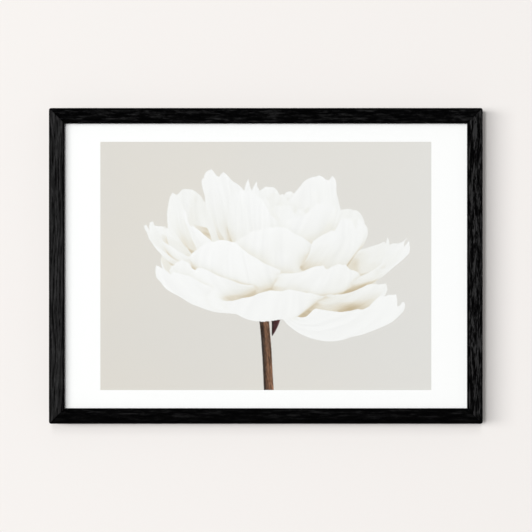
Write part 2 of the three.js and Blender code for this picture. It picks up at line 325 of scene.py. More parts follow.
def clear_glass():
    """Picture glass. Lamps shine through it, so what is behind it is lit."""
    paint = Paint("clear_glass")
    wave = paint.noise(paint.place(), 9, detail=1)
    glass = paint.surface(
        Base_Color=(0.998, 1.0, 0.999),
        Roughness=0.0,
        IOR=1.5,
        Transmission_Weight=1.0,
        Normal=paint.bump(wave, 0.01 * MM),
    )
    # Light meets the sheet once: by the lamps' own rays, and not again as rays bent by the glass.
    through = paint.clear((0.992, 0.996, 0.993))
    seen = paint.mixed(paint.light_path("Is Diffuse Ray"), glass, through)
    return paint.done(paint.mixed(paint.light_path("Is Shadow Ray"), seen, through))


def printed_paper():
    """Matt art paper. The mesh carries the ink as a colour attribute."""
    paint = Paint("printed_paper")
    ink = paint.attribute("ink", "Color")
    place = paint.place()
    tooth = paint.noise(place, 2400, roughness=0.65)
    mottle = paint.noise(place, 160)
    return paint.finished(
        Base_Color=paint.colours(mottle.between(0.35, 0.75) * 0.018, ink, (0.80, 0.79, 0.76)),
        Roughness=0.62 + tooth * 0.2,
        Normal=paint.bump(tooth, 0.02 * MM),
        Specular_IOR_Level=0.12,
    )


def backing_fibreboard():
    """Brown fibreboard: a smooth pressed face with long pale and dark fibres in it."""
    paint = Paint("backing_fibreboard")
    place = paint.place()
    warp = paint.noise(place, 45, detail=2)
    inputs = {"Vector": paint.stretched(place, (1, 1, 0.42)), "Scale": 620.0, "Randomness": 1.0}
    strands = paint.node("ShaderNodeTexVoronoi", {"feature": "F1"}, inputs)
    fine = paint.noise(place, 1500, detail=4, roughness=0.7)
    cloud = paint.noise(place, 16)
    tone = cloud * 0.45 + fine * 0.45 + strands.between(0.05, 0.42) * 0.25 + warp * 0.15
    colour = paint.colours(tone.between(0.30, 1.0), (0.150, 0.088, 0.047), (0.335, 0.218, 0.128))
    dark = paint.noise(place, (2300, 2300, 552), detail=2).between(0.60, 0.76)
    return paint.finished(
        Base_Color=paint.colours(dark * 0.34, colour, (0.095, 0.053, 0.030)),
        Roughness=0.66 + fine * 0.22,
        Normal=paint.bump(fine * 0.5 + strands * 0.6, 0.09 * MM),
    )


def steel(name, dark, bright, roughness, scratch, rust):
    """Plated or oiled steel with fine scuffs and a little brown in patches."""
    paint = Paint(name)
    place = paint.place()
    scuffs = paint.noise(place, (2600, 2600, 500), roughness=0.7)
    cloud = paint.noise(place, 420)
    patch = paint.noise(place, 900, detail=4, roughness=0.7).between(0.58, 0.74)
    colour = paint.colours(cloud.between(0.30, 0.72), dark, bright)
    return paint.finished(
        Base_Color=paint.colours(patch * rust, colour, (0.105, 0.048, 0.020)),
        Metallic=1.0,
        Roughness=roughness + scuffs * 0.20 - cloud * 0.06,
        Normal=paint.bump(scuffs, scratch),
    )


def soft_rubber():
    paint = Paint("soft_rubber")
    place = paint.place()
    grain = paint.noise(place, 2600)
    dust = paint.noise(place, 700, detail=4, roughness=0.7).between(0.50, 0.80)
    return paint.finished(
        Base_Color=paint.colours(dust * 0.5, (0.011, 0.011, 0.012), (0.045, 0.043, 0.041)),
        Roughness=0.62 + grain * 0.2,
        Normal=paint.bump(grain, 0.03 * MM),
    )


def plain_wall():
    """The stage's wall: pale paint from the front. From behind it isn't there, for sight or for lamps."""
    paint = Paint("plain_wall")
    roller = paint.noise(paint.place(), 700, detail=2)
    wall = paint.surface(Base_Color=WALL_PAINT, Roughness=0.9, Normal=paint.bump(roller, 0.02 * MM))
    behind = paint.node("ShaderNodeNewGeometry", output="Backfacing")
    gone = behind.either(paint.light_path("Is Shadow Ray"))
    return paint.done(paint.mixed(gone, wall, paint.clear()))


def pale_floor():
    return Paint("pale_floor").finished(Base_Color=FLOOR_PAINT, Roughness=0.8)


# ---- making pieces


def linked(name, data):
    """A new object in the scene."""
    made = bpy.data.objects.new(name, data)
    bpy.context.scene.collection.objects.link(made)
    return made


def add_mesh(name, mesh, material, sharp=None):
    """An object at the origin. sharp is the angle in degrees past which an edge stays crisp."""
    made = linked(name, mesh)
    mesh.materials.clear()
    mesh.materials.append(material)
    mesh.shade_smooth()
    if sharp is not None:
        mesh.set_sharp_from_angle(angle=math.radians(sharp))
    return made


def mesh_from(name, places, faces):
    """A mesh from its vertices' places and its faces' vertex numbers."""
    mesh = bpy.data.meshes.new(name)
    mesh.from_pydata(places, [], faces)
    mesh.update()
    return mesh


def paint_points(mesh, **values):
    """Gives each vertex its own values, which the material reads."""
    for name, value in values.items():
        mesh.attributes.new(name, "FLOAT", "POINT").data.foreach_set("value", value.ravel())


def grown_mesh(made, name):
    """The object's mesh with its modifiers applied."""
    bpy.context.view_layer.update()
    mesh = bpy.data.meshes.new_from_object(made.evaluated_get(bpy.context.evaluated_depsgraph_get()))
    mesh.name = name
    return mesh


def tidy_shell(mesh):
    """Merges doubles, drops walls that two joined parts share, and turns every face outwards."""
    shell = bmesh.new()
    shell.from_mesh(mesh)
    bmesh.ops.remove_doubles(shell, verts=shell.verts, dist=1e-7)
    inner = [face for face in shell.faces if all(len(edge.link_faces) > 2 for edge in face.edges)]
    bmesh.ops.delete(shell, geom=inner, context="FACES_ONLY")
    bmesh.ops.recalc_face_normals(shell, faces=shell.faces)
    shell.to_mesh(mesh)
    shell.free()


def cut_with(made, cutter_mesh):
    """Takes the cutter away from the made object's mesh."""
    cutter = linked("cutter", cutter_mesh)
    cut = made.modifiers.new("cut", "BOOLEAN")
    cut.operation, cut.object, cut.solver = "DIFFERENCE", cutter, "EXACT"
    mesh = grown_mesh(made, made.name)
    made.modifiers.clear()
    made.data = mesh
    bpy.data.objects.remove(cutter)


def tube_faces(rings, around):
    """Faces of a tube of vertex rings with both ends closed."""
    index = np.arange(rings * around).reshape(rings, around)
    following = np.roll(index, -1, axis=1)
    sides = np.stack([index[:-1], following[:-1], following[1:], index[1:]], axis=-1).reshape(-1, 4)
    return sides.tolist() + [index[0][::-1].tolist(), index[-1].tolist()]


def tube(name, rings, material, sharp):
    """A closed solid from rings of vertices."""
    count, around, _ = rings.shape
    mesh = mesh_from(name, rings.reshape(-1, 3).tolist(), tube_faces(count, around))
    tidy_shell(mesh)
    return add_mesh(name, mesh, material, sharp)


def arc(centre, radius, start, end, count):
    """Points on an arc from its start to its end, both in degrees."""
    turns = np.radians(np.linspace(start, end, count))
    return [(centre[0] + radius * math.cos(a), centre[1] + radius * math.sin(a)) for a in turns]


def right_hand(path):
    """The unit direction to the right of a flat path at each of its points."""
    step = np.gradient(path, axis=0)
    step /= np.linalg.norm(step, axis=1, keepdims=True)
    return np.stack([step[:, 1], -step[:, 0]], axis=1)


def keep(piece, slot, *nodes, body=BODY):
    """Rides the piece on its body, in place of its CAD nodes."""
    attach(piece, body)
    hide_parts(*nodes)


# ---- noise for shapes


def lattice_value(ix, iy, seed):
    """A fixed random number from 0 to 1 for each whole-number place."""
    bits = 0xFFFFFFFF
    mixed = (ix.astype(np.int64) * 374761393 + iy.astype(np.int64) * 668265263 + seed * 2246822519) & bits
    mixed = ((mixed ^ (mixed >> 13)) * 1274126177) & bits
    return ((mixed ^ (mixed >> 16)) & 0xFFFF) / 65535.0


def wander(x, y, seed):
    """Smooth noise from -1 to 1 whose features are about 1 wide."""
    x, y = np.broadcast_arrays(x, y)
    ix, iy = np.floor(x), np.floor(y)
    fx, fy = x - ix, y - iy
    fx, fy = fx * fx * (3 - 2 * fx), fy * fy * (3 - 2 * fy)
    low = lattice_value(ix, iy, seed) * (1 - fx) + lattice_value(ix + 1, iy, seed) * fx
    high = lattice_value(ix, iy + 1, seed) * (1 - fx) + lattice_value(ix + 1, iy + 1, seed) * fx
    return 2 * (low * (1 - fy) + high * fy) - 1


def layered(x, y, seed, *layers):
    """Noise of several sizes at once. Each layer has its strength, and its features' widths in x and y."""
    return sum(layer[0] * wander(x / layer[1], y / layer[2], seed + i) for i, layer in enumerate(layers))


def smooth_step(value, low, high):
    t = np.clip((value - low) / (high - low), 0, 1)
    return t * t * (3 - 2 * t)


# ---- rails


def arc_points(centre_y, centre_height, radius, start, end, count):
    """Points on an arc of the section, past its start and up to its end, with their outward normals."""
    points = arc((centre_y, centre_height), radius, start, end, count + 1)[1:]
    return [(y, h, (y - centre_y) / radius, (h - centre_height) / radius) for y, h in points]


def line_points(start, end, normal, pitch):
    """Points on a straight stretch of the section, past its start and up to its end."""
    steps = max(1, round(math.dist(start, end) / pitch))
    return [(*point, *normal) for point in np.linspace(start, end, steps + 1)[1:]]


def rail_section():
    """The rail's section: rows of y, height over the outer edge, outward normal, and depth of the grain."""
    lip_y, inner = FRONT_Y + LIP_DEPTH, FACE - INNER_ARRIS
    front_y, back_y, inner_y = FRONT_Y + FRONT_ARRIS, BACK_Y - BACK_ARRIS, FRONT_Y + INNER_ARRIS
    front, lip, side, back, hidden = (pitch * MM for pitch in (0.24, 0.4, 0.42, 0.5, 1.6))
    stretches = (
        (arc_points(front_y, FRONT_ARRIS, FRONT_ARRIS, 180, 270, 6), 0.7),
        (line_points((front_y, 0), (back_y, 0), (0, -1), side), 1),
        (arc_points(back_y, BACK_ARRIS, BACK_ARRIS, -90, 0, 4), 0.6),
        (line_points((BACK_Y, BACK_ARRIS), (BACK_Y, WALL), (1, 0), back), 0.6),
        (line_points((BACK_Y, WALL), (lip_y, WALL), (0, 1), hidden), 0),
        (line_points((lip_y, WALL), (lip_y, FACE), (1, 0), hidden), 0),
        (line_points((lip_y, FACE), (inner_y, FACE), (0, 1), lip), 0.7),
        (arc_points(inner_y, inner, INNER_ARRIS, 90, 180, 5), 0.7),
        (line_points((FRONT_Y, inner), (FRONT_Y, FRONT_ARRIS), (-1, 0), front), 1),
    )
    return np.array([(*point, depth) for points, depth in stretches for point in points])


def wood_figure(along, across, y, height, seed):
    """Open grain at places on a rail: how much pore, and how much late wood, there is."""
    heart_y, heart_height = 46 * MM, -30 * MM - 9 * MM * (seed % 3)
    sway = 2.6 * wander(along / (150 * MM), seed * 1.7, seed)
    sway = sway + layered(along, across, seed + 1, (0.9, 42 * MM, 9 * MM), (0.22, 11 * MM, 2.2 * MM))
    year = (np.hypot(y - heart_y, height - heart_height) + sway * MM) / YEAR_WIDTH
    year = year + 0.35 * wander(year * 0.6, along / (400 * MM), seed + 3)
    phase = year - np.floor(year)
    early = 1 - smooth_step(phase, 0.30, 0.58) + smooth_step(phase, 0.93, 1.0)
    lengths = (0.62, 6.5 * MM, 0.36 * MM), (0.38, 2.6 * MM, 0.30 * MM)
    dashes = layered(along, across, seed + 4, *lengths)
    pore = smooth_step(dashes + 0.42 * (early - 0.55), 0.16, 0.50)
    return np.clip(pore * (0.45 + 0.55 * early), 0, 1), np.clip(1 - early, 0, 1)


def wedge_slots(length, reach):
    """A cutter for the two slots that the mitre wedges sit in, at a bottom rail's ends."""
    back, front = -SLOT_FIT - SLOT_TIP, SLOT_GAUGE - SLOT_TIP
    outline = [(SLOT_TIP + SLOT_GAUGE, 0), (front, SLOT_SPREAD), (back, SLOT_SPREAD)]
    outline += [(SLOT_TIP - SLOT_FIT, 0), (back, -SLOT_SPREAD), (front, -SLOT_SPREAD)]
    places, faces = [], []
    for end in (-1, 1):
        first = len(places)
        for y in (BACK_Y - SLOT_DEPTH, BACK_Y + 1 * MM):
            for along, aside in outline:
                x = end * (length / 2 - WALL / 2) + (end * along + aside) * math.sqrt(0.5)
                z = WALL / 2 + (-along + end * aside) * math.sqrt(0.5)
                places.append((x, y, z - reach))
        faces += [[first + corner for corner in face] for face in tube_faces(2, len(outline))]
    mesh = mesh_from("slots", places, faces)
    tidy_shell(mesh)
    return mesh


def rail(name, turns, length, reach, seed, front_light_and_stain, material):
    """A mitred rail with its grain cut in, built as the bottom one and turned about Y to its side."""
    painted_rail_light, uneven, lighter_inside = front_light_and_stain
    section = rail_section()
    y, height, normal_y, normal_h, depth = (section[:, i][None, :] for i in range(5))
    steps = np.hypot(np.diff(section[:, 0]), np.diff(section[:, 1]))
    across = np.concatenate([[0], np.cumsum(steps)])[None, :]
    share = np.linspace(-1, 1, round(length / GRAIN_PITCH) + 1)[:, None]
    x = share * (length / 2 - height - MITRE_SET_BACK)
    along = x + length * seed
    pore, late = wood_figure(along, across + PLANK_SHIFT * seed, y, height, seed)
    near_end = smooth_step(1 - np.abs(share), 0, 0.004)
    planing = 1 + wander(along / (22 * MM), across / (0.55 * MM), seed + 9)
    grain = pore * PORE_DEPTH + (1 - late) * EARLY_WOOD_DEPTH + planing * PLANING_DEPTH
    sink = depth * (near_end * grain + PLANING_DEPTH)
    y_all = y - normal_y * sink
    h_all = height - normal_h * sink
    # The frame's outer corners are rounded: what lies outside the round is drawn in to it.
    centre = length / 2 - CORNER_RADIUS
    dx, dh = np.abs(x) - centre, CORNER_RADIUS - h_all
    away = np.hypot(dx, dh)
    outside = (dx > 0) & (dh > 0) & (away > CORNER_RADIUS)
    draw = np.where(outside, CORNER_RADIUS / np.maximum(away, 1e-9), 1)
    x = np.where(outside, np.sign(x) * (centre + dx * draw), x)
    h_all = np.where(outside, CORNER_RADIUS - dh * draw, h_all)

    places = np.stack([x, y_all, h_all - reach], axis=-1)
    mesh = mesh_from(name, places.reshape(-1, 3).tolist(), tube_faces(*x.shape))
    place = np.stack([along, across + PLANK_SHIFT * seed + 0 * along, 0 * along], axis=-1)
    mesh.attributes.new("wood_place", "FLOAT_VECTOR", "POINT").data.foreach_set("vector", place.ravel())
    # The front takes its rail's painted sheen, and is painted darker towards its outer and inner edges as
    # painted shade of the rounded arrises. The back and the sides take plain stain tones.
    painted_edge_shade = smooth_step(np.minimum(height, FACE - height), 0.7 * MM, 2.4 * MM)
    on_front = painted_rail_light * painted_edge_shade * (1 + lighter_inside * (2 * height / FACE - 1))
    is_front, is_back = y < FRONT_Y + 0.01 * MM, y > BACK_Y - 0.01 * MM
    stain_thin = np.where(is_front, on_front, np.where(is_back, BACK_STAIN, SIDE_STAIN)) + 0 * late
    uneven = np.where(is_front, uneven, HIDDEN_UNEVEN) + 0 * late
    paint_points(mesh, pore=pore, late_wood=late, stain_thin=stain_thin, uneven=uneven)

    made = add_mesh(name, mesh, material)
    cut_with(made, wedge_slots(length, reach))
    made.data.transform(Matrix.Rotation(turns * math.pi / 2, 4, "Y"))
    made.data.set_sharp_from_angle(angle=math.radians(50))
    return made


def make_rails():
    wood = black_wood()
    width, height = 2 * HALF_WIDTH, 2 * HALF_HEIGHT
    for turns, (side, front_light_and_stain) in enumerate(PAINTED_LIGHT_AND_STAIN.items()):
        length, reach = (height, width / 2) if turns % 2 else (width, height / 2)
        made = rail(f"grained_rail_{side}", turns, length, reach, turns + 2, front_light_and_stain, wood)
        keep(made, "black_wood", f"rail_{side}")


# ---- the pictured flower
#
# The print shows a white double flower of no particular kind. It is grown here as curved petals, in
# millimetres with +Z up and the viewer towards -Y, lit by a soft sky, and then set down as ink on the sheet.


def petal(turn, rise, length, width, cup, ruffle, twist, notch, sway, seed):
    """One petal: its places, and at each how far along and how far across it is."""
    random = np.random.default_rng(seed)
    s, t = np.linspace(0, 1, ALONG)[:, None], np.linspace(-1, 1, ACROSS)[None, :]
    cleft = random.uniform(-0.45, 0.45)
    tip = 1 - 0.30 * np.abs(t) ** 2.7 - notch * np.exp(-(((t - cleft) / 0.10) ** 2))
    tip = tip - 0.5 * notch * np.exp(-(((t + 0.55 * np.sign(cleft)) / 0.09) ** 2))
    tip = tip + 0.018 * wander(t * 5.3, 0.5, seed + 7) + 0.008 * wander(t * 14, 0.5, seed + 8)
    q = s * tip
    half = 0.5 * width * (0.12 + 0.88 * np.sin(0.5 * np.pi * np.clip(q / 0.62, 0, 1)) ** 0.85)
    half = half * (1 - 0.22 * np.clip((q - 0.62) / 0.38, 0, 1) ** 2)
    half = half * (1 + 0.03 * wander(q * 6, t * 0.5 + 3, seed + 3) * np.abs(t) ** 4)

    # The midrib bends from its first rise to its last; both are degrees over the level.
    steps = np.linspace(0, 1, 200)
    climb = np.radians(rise[0] + (rise[1] - rise[0]) * steps**1.15)
    reach = np.concatenate([[0], np.cumsum(np.cos(climb[:-1]))]) / 199 * length
    height = np.concatenate([[0], np.cumsum(np.sin(climb[:-1]))]) / 199 * length
    out, up = PETAL_BASE + np.interp(q, steps, reach), np.interp(q, steps, height)
    slope = np.interp(q, steps, climb)

    bend = cup * (1.25 - 0.75 * q)
    aside = half / bend * np.sin(bend * t) + sway * length * q**2
    inward = half / bend * (1 - np.cos(bend * t))
    dents = wander(q * 3.1 + seed, t * 1.7, seed) + 0.45 * wander(q * 6.3, t * 4.1 + seed, seed + 1)
    dents = dents + 0.16 * wander(q * 9, t * 9.5 + seed, seed + 2)
    inward = inward + ruffle * q**1.6 * dents
    inward = inward + 0.8 * ruffle * q**2 * np.abs(t) ** 3 * np.sin(9 * q + 5 * t + seed)
    inward = inward + 0.012 * width * np.sin(7 * t + seed) * np.exp(-(((q - 0.35) / 0.3) ** 2))

    roll = np.radians(twist) * q
    aside, inward = aside * np.cos(roll) - inward * np.sin(roll), inward * np.cos(roll) + aside * np.sin(roll)
    out, up = out - inward * np.sin(slope), up + inward * np.cos(slope)
    cos_turn, sin_turn = math.cos(math.radians(turn)), math.sin(math.radians(turn))
    places = np.stack([out * cos_turn - aside * sin_turn, out * sin_turn + aside * cos_turn, up], axis=-1)
    return places, q + 0 * t, t + 0 * s


def petal_shapes():
    """Every petal's shape, ring by ring from the outside in, with seeded differences between them."""
    rings = (
        # how many, first turn, length, width, rise, cup, ruffle, spread of the differences, notch
        (6, -84, 130, 130, (-34, 84), 1.05, 6, 8, 0.05),
        (6, -56, 136, 124, (-10, 88), 1.0, 7, 9, 0.06),
        (6, -88, 140, 114, (18, 94), 1.0, 8, 10, 0.07),
        (5, -48, 142, 102, (44, 98), 1.0, 8, 10, 0.07),
        (4, -70, 126, 80, (60, 102), 1.0, 8, 12, 0.10),
    )
    # Some longer petals that break the round outline.
    petals = [
        # turn, rise, length, width, cup, ruffle, twist, notch, sway, seed
        (-34, (-52, 88), 186, 132, 1.3, 7, -6, 0.05, 0, 31),
        (-150, (-30, 74), 150, 112, 1.2, 7, 8, 0.06, 0, 47),
        (4, (0, 66), 168, 124, 1.0, 8, 6, 0.06, 0, 59),
        (172, (2, 62), 158, 112, 1.0, 7, -6, 0.06, 0, 73),
    ]
    random = np.random.default_rng(FLOWER_SEED)
    for ring, (count, first, length, width, rise, cup, ruffle, spread, notch) in enumerate(rings):
        for i in range(count):
            turn = first + 360 * i / count
            sideways = 1 + 0.12 * math.cos(math.radians(turn)) ** 2
            shape = (
                turn + random.uniform(-0.8, 0.8) * spread,
                (rise[0] + random.uniform(-0.4, 0.4) * spread, rise[1] + random.uniform(-1, 1) * spread),
                length * random.uniform(0.92, 1.08) * sideways,
                width * random.uniform(0.90, 1.12),
                cup * random.uniform(0.85, 1.15),
                ruffle * random.uniform(0.7, 1.3),
                random.uniform(-18, 18),
                notch * random.uniform(0.2, 1.5),
                random.uniform(-0.1, 0.1),
                101 + 200 * ring + 13 * i,
            )
            petals.append(shape)
    return petals


def grid_triangles(rows, columns):
    index = np.arange(rows * columns).reshape(rows, columns)
    a, b, c, d = (index[:-1, :-1], index[:-1, 1:], index[1:, 1:], index[1:, :-1])
    return np.concatenate([np.stack([a, b, c], -1).reshape(-1, 3), np.stack([a, c, d], -1).reshape(-1, 3)])


def hemisphere(count):
    """Even directions over a half sphere about +Z, closer together where they light more."""
    i = np.arange(count) + 0.5
    radius, turn = np.sqrt(i / count), i * math.pi * (3 - math.sqrt(5))
    return np.stack([radius * np.cos(turn), radius * np.sin(turn), np.sqrt(1 - radius**2)], axis=1)


def sky(direction):
    """How bright the pictured studio is in each direction."""
    key = np.clip(direction @ np.array(KEY_LIGHT), 0, 1) ** 1.5
    return 0.52 + 0.68 * key + 0.12 * np.clip(-direction[:, 1], 0, 1)


def light_reaching(places, normals, tree, rays, reach):
    """How much of the sky each place sees on the side its normal points to."""
    upright = np.where(np.abs(normals[:, 2:3]) < 0.9, np.array([[0, 0, 1.0]]), np.array([[1.0, 0, 0]]))
    first = np.cross(upright, normals)
    first /= np.linalg.norm(first, axis=1, keepdims=True)
    second = np.cross(normals, first)
    starts = (places + normals * 0.35).tolist()
    total = np.zeros(len(places))
    for a, b, c in hemisphere(rays):
        towards = first * a + second * b + normals * c
        blocked = [tree.ray_cast(p, d, reach)[0] is not None for p, d in zip(starts, towards.tolist())]
        total += np.where(blocked, 0, sky(towards))
    return total / rays


def softened(values, petal_count, times):
    """Values on the petals' grids, each averaged with its neighbours."""
    grids = values.reshape(petal_count, ALONG, ACROSS)
    for _ in range(times):
        wide = np.pad(grids, ((0, 0), (1, 1), (1, 1)), mode="edge")
        around = wide[:, :-2, 1:-1] + wide[:, 2:, 1:-1] + wide[:, 1:-1, :-2] + wide[:, 1:-1, 2:]
        grids = (around + 2 * grids) / 6
    return grids.ravel()


class Flower:
    """The lit petals, and what a look straight at the picture sees of them."""

    def __init__(self):
        grown = [petal(*shape) for shape in petal_shapes()]
        self.count = len(grown)
        nod = Matrix.Rotation(math.radians(FLOWER_NOD), 3, "X")
        lean = Matrix.Rotation(math.radians(-FLOWER_LEAN), 3, "Y")
        turned = np.diag([1, 1, FLOWER_FLATNESS]) @ np.array(lean @ nod)
        flat = np.concatenate([p.reshape(-1, 3) for p, _, _ in grown])
        self.places = flat @ turned.T + np.array(FLOWER_PLACE)
        self.along = np.concatenate([q.ravel() for _, q, _ in grown])
        self.across = np.concatenate([t.ravel() for _, _, t in grown])
        one = grid_triangles(ALONG, ACROSS)
        self.triangles = np.concatenate([one + k * ALONG * ACROSS for k in range(self.count)])
        self.owner = np.repeat(np.arange(self.count), len(one))
        self.tree = BVHTree.FromPolygons(self.places.tolist(), self.triangles.tolist())
        self.light = self.lit()

    def lit(self):
        corner = self.places[self.triangles]
        facing = np.cross(corner[:, 1] - corner[:, 0], corner[:, 2] - corner[:, 0])
        normals = np.zeros_like(self.places)
        for i in range(3):
            np.add.at(normals, self.triangles[:, i], facing)
        normals /= np.maximum(np.linalg.norm(normals, axis=1, keepdims=True), 1e-9)
        normals = np.where(normals[:, 1:2] > 0, -normals, normals)
        near = light_reaching(self.places, normals, self.tree, rays=24, reach=90)
        through = light_reaching(self.places, -normals, self.tree, rays=8, reach=60)
        near, through = softened(near, self.count, 1), softened(through, self.count, 3)
        direct = np.clip((near + 0.28 * through) / 0.80, 0, 1.3)
        # White petals pass light on to each other, which lifts the shaded ones.
        return direct / (1 - 0.68 * (1 - np.clip(direct, 0, 1)))

    def colours(self, x, z):
        """The picture's sRGB colour, 0 to 255, at places in millimetres from its middle."""
        seen = background(x, z)
        ink_stem(seen, x, z)
        hits = [self.tree.ray_cast((a, -400, b), (0, 1, 0)) for a, b in zip(x.tolist(), z.tolist())]
        found = [(i, hit[0][:], hit[2]) for i, hit in enumerate(hits) if hit[0] is not None]
        on, place, face = (np.array(column) for column in zip(*found))
        seen[on] = self.petal_colours(place, face)
        return seen

    def petal_colours(self, place, face):
        """The colours at places on the petals' faces, shaded from the faces' corners."""
        triangle = self.triangles[face]
        a, b, c = (self.places[triangle[:, i]] for i in range(3))
        ab, ac, ap = b - a, c - a, place - a
        dot = lambda first, second: (first * second).sum(axis=1)
        area = np.maximum(dot(ab, ab) * dot(ac, ac) - dot(ab, ac) ** 2, 1e-12)
        to_b = (dot(ac, ac) * dot(ap, ab) - dot(ab, ac) * dot(ap, ac)) / area
        to_c = (dot(ab, ab) * dot(ap, ac) - dot(ab, ac) * dot(ap, ab)) / area
        weights = (1 - to_b - to_c, to_b, to_c)
        at = lambda values: sum(w * values[triangle[:, i]] for i, w in enumerate(weights))
        light, q, t = at(self.light), at(self.along), at(self.across)
        own = self.owner[face] * 17
        veins = 0.5 * wander(t * 16 + own, q * 1.6, 5) + 0.35 * wander(t * 38 + own, q * 2.5, 6)
        light = light * (1 + 0.022 * veins * (1 - 0.3 * q))
        tones = zip(*PETAL_TONES.values())
        colour = np.stack([np.interp(light, list(PETAL_TONES), tone) for tone in tones], axis=1)
        colour = colour + 5.0 * np.clip(veins, -1, 0.3)[:, None]
        rim = np.clip((np.abs(t) - 0.93) / 0.07, 0, 1) + np.clip((q - 0.9) / 0.1, 0, 1)
        return colour + (255 - colour) * 0.10 * np.clip(rim, 0, 1)[:, None]


def background(x, z):
    """The picture's plain ground: greige, warmer at the left and a little darker at the foot."""
    over, up = (x / 168)[:, None], (z / 126)[:, None]
    tone = np.array([224.4, 221.3, 215.8]) + np.array([2.3, 3.4, 5.0]) * over + np.array([0.8, 0.8, 0.7]) * up
    cast = np.array([1.0, 0.2, -1.0]) * wander(x / 60, z / 70, 4)[:, None]
    return tone + 0.7 * wander(x / 80, z / 80, 3)[:, None] + 0.8 * cast


def lay_ink(seen, tone, depth):
    """Lays a tone over the ground where depth, in millimetres in from its edge, is more than nothing."""
    cover = np.clip(0.5 + depth / PICTURE_STEP, 0, 1)[:, None]
    seen[:] = seen * (1 - cover) + tone * cover


def ink_stem(seen, x, z):
    """Draws the brown stem, from under the flower to the picture's lower edge."""
    middle = -2.2 + 5.6 * (-z - 49) / 77 + 0.4 * np.sin(z / 17)
    radius = STEM_RADIUS * (1 + 0.05 * wander(z / 14, 0.5, 21))
    along = x - middle
    side = along / radius
    round_light = np.sqrt(np.clip(1 - side**2, 0, 1))
    lit = 0.44 + 0.77 * np.clip(0.45 * side + 0.62 * round_light, 0, 1)
    bark = layered(along, z, 22, (0.22, 0.9, 9), (0.22, 1.7, 22), (0.24, 0.8, 2.4))
    shade = smooth_step(-z, 34, 60)
    tone = np.array(STEM_BROWN) * (lit * (1 + bark) * (0.42 + 0.58 * shade))[:, None]
    lay_ink(seen, np.clip(tone, 24, 235), np.where(z < -20, (1 - np.abs(side)) * radius, -1))
    ink_sepal(seen, x, z)


def ink_sepal(seen, x, z):
    """Draws one small dark sepal that hangs beside the stem's top."""
    down = (-46 - z) / 22
    middle = 10.0 + 1.2 * np.sin(3.2 * down) - 2.5 * down
    half = 5.4 * np.sqrt(np.clip(down * 3, 0, 1)) * np.clip(1.15 - down, 0, 1) ** 0.7
    side = (x - middle) / np.maximum(half, 1e-6)
    tone = np.array(SEPAL_RED) * (1 + 0.35 * side + 0.2 * wander(x / 1.2, z / 5, 31))[:, None]
    depth = np.where((down > 0) & (down < 1.15), (1 - np.abs(side)) * half, -1)
    lay_ink(seen, np.clip(tone, 10, 200), depth)


# ---- the sheet


def to_linear(colour):
    """sRGB from 0 to 255 as linear light."""
    value = np.clip(colour / 255, 0, 1)
    return np.where(value <= 0.04045, value / 12.92, ((value + 0.055) / 1.055) ** 2.4)


def picture_places(flower):
    """Places over the picture, close together where its colours change quickly, and their colours."""
    coarse = COARSE_STEPS
    columns = round(PICTURE_WIDTH / PICTURE_STEP / coarse)
    rows = round(PICTURE_HEIGHT / PICTURE_STEP / coarse)
    x = np.linspace(-0.5, 0.5, columns * coarse + 1) * PICTURE_WIDTH
    z = np.linspace(-0.5, 0.5, rows * coarse + 1) * PICTURE_HEIGHT
    corner_x, corner_z = np.meshgrid(x[::coarse], z[::coarse])
    corner = flower.colours(corner_x.ravel(), corner_z.ravel()).reshape(rows + 1, columns + 1, 3)
    cells = np.stack([corner[:-1, :-1], corner[:-1, 1:], corner[1:, 1:], corner[1:, :-1]])
    busy = (cells.max(axis=0) - cells.min(axis=0)).max(axis=-1) > 3.5
    wanted = np.zeros((rows * coarse + 1, columns * coarse + 1), bool)
    wanted[::coarse, ::coarse] = True
    for j, i in zip(*np.nonzero(busy)):
        wanted[j * coarse : (j + 1) * coarse + 1, i * coarse : (i + 1) * coarse + 1] = True
    down, over = np.nonzero(wanted)
    places = np.stack([x[over], z[down]], axis=1)
    return places, flower.colours(places[:, 0], places[:, 1])


def sheet_mesh(flower):
    """The sheet as one closed body, its front cut fine enough to carry the picture as corner colours."""
    places, colours = picture_places(flower)
    half_width, half_height = (SHEET_HIGH.x - SHEET_LOW.x) / 2 / MM, (SHEET_HIGH.z - SHEET_LOW.z) / 2 / MM
    corners = np.array([(-1, -1), (1, -1), (1, 1), (-1, 1)]) * (half_width, half_height)
    flat = np.concatenate([places, corners])
    front, _, triangles, from_place, *_ = delaunay_2d_cdt([Vector(p) for p in flat.tolist()], [], [], 0, 1e-6)
    front, triangles = np.array([v[:] for v in front]), np.array(triangles)
    source = np.array([group[0] for group in from_place])
    ink = np.concatenate([colours, np.full((4, 3), 255.0)])[source]

    count = len(front)
    vertices = np.column_stack([front[:, 0] * MM, np.full(count, SHEET_LOW.y), front[:, 1] * MM])
    rim = [int(np.argmin(np.abs(front - corner).sum(axis=1))) for corner in corners]
    back = np.column_stack([corners[:, 0] * MM, np.full(4, SHEET_HIGH.y), corners[:, 1] * MM])
    behind = [count + i for i in range(4)]
    sides = [[rim[i], behind[i], behind[(i + 1) % 4], rim[(i + 1) % 4]] for i in range(4)]
    faces = triangles.tolist() + sides + [behind[::-1]]
    mesh = mesh_from("printed_sheet", np.concatenate([vertices, back]).tolist(), faces)

    middle = np.abs(front[triangles].mean(axis=1))
    inside = (middle < (PICTURE_WIDTH / 2, PICTURE_HEIGHT / 2)).all(axis=1)
    shown = np.where(inside[:, None, None], to_linear(ink[triangles]), 1.0).reshape(-1, 3)
    rest = np.ones((len(mesh.loops) - len(shown), 3))
    linear = np.concatenate([shown, rest]) * PAPER_WHITE
    rgba = np.column_stack([linear, np.ones(len(linear))])
    mesh.attributes.new("ink", "FLOAT_COLOR", "CORNER").data.foreach_set("color", rgba.ravel())
    return mesh


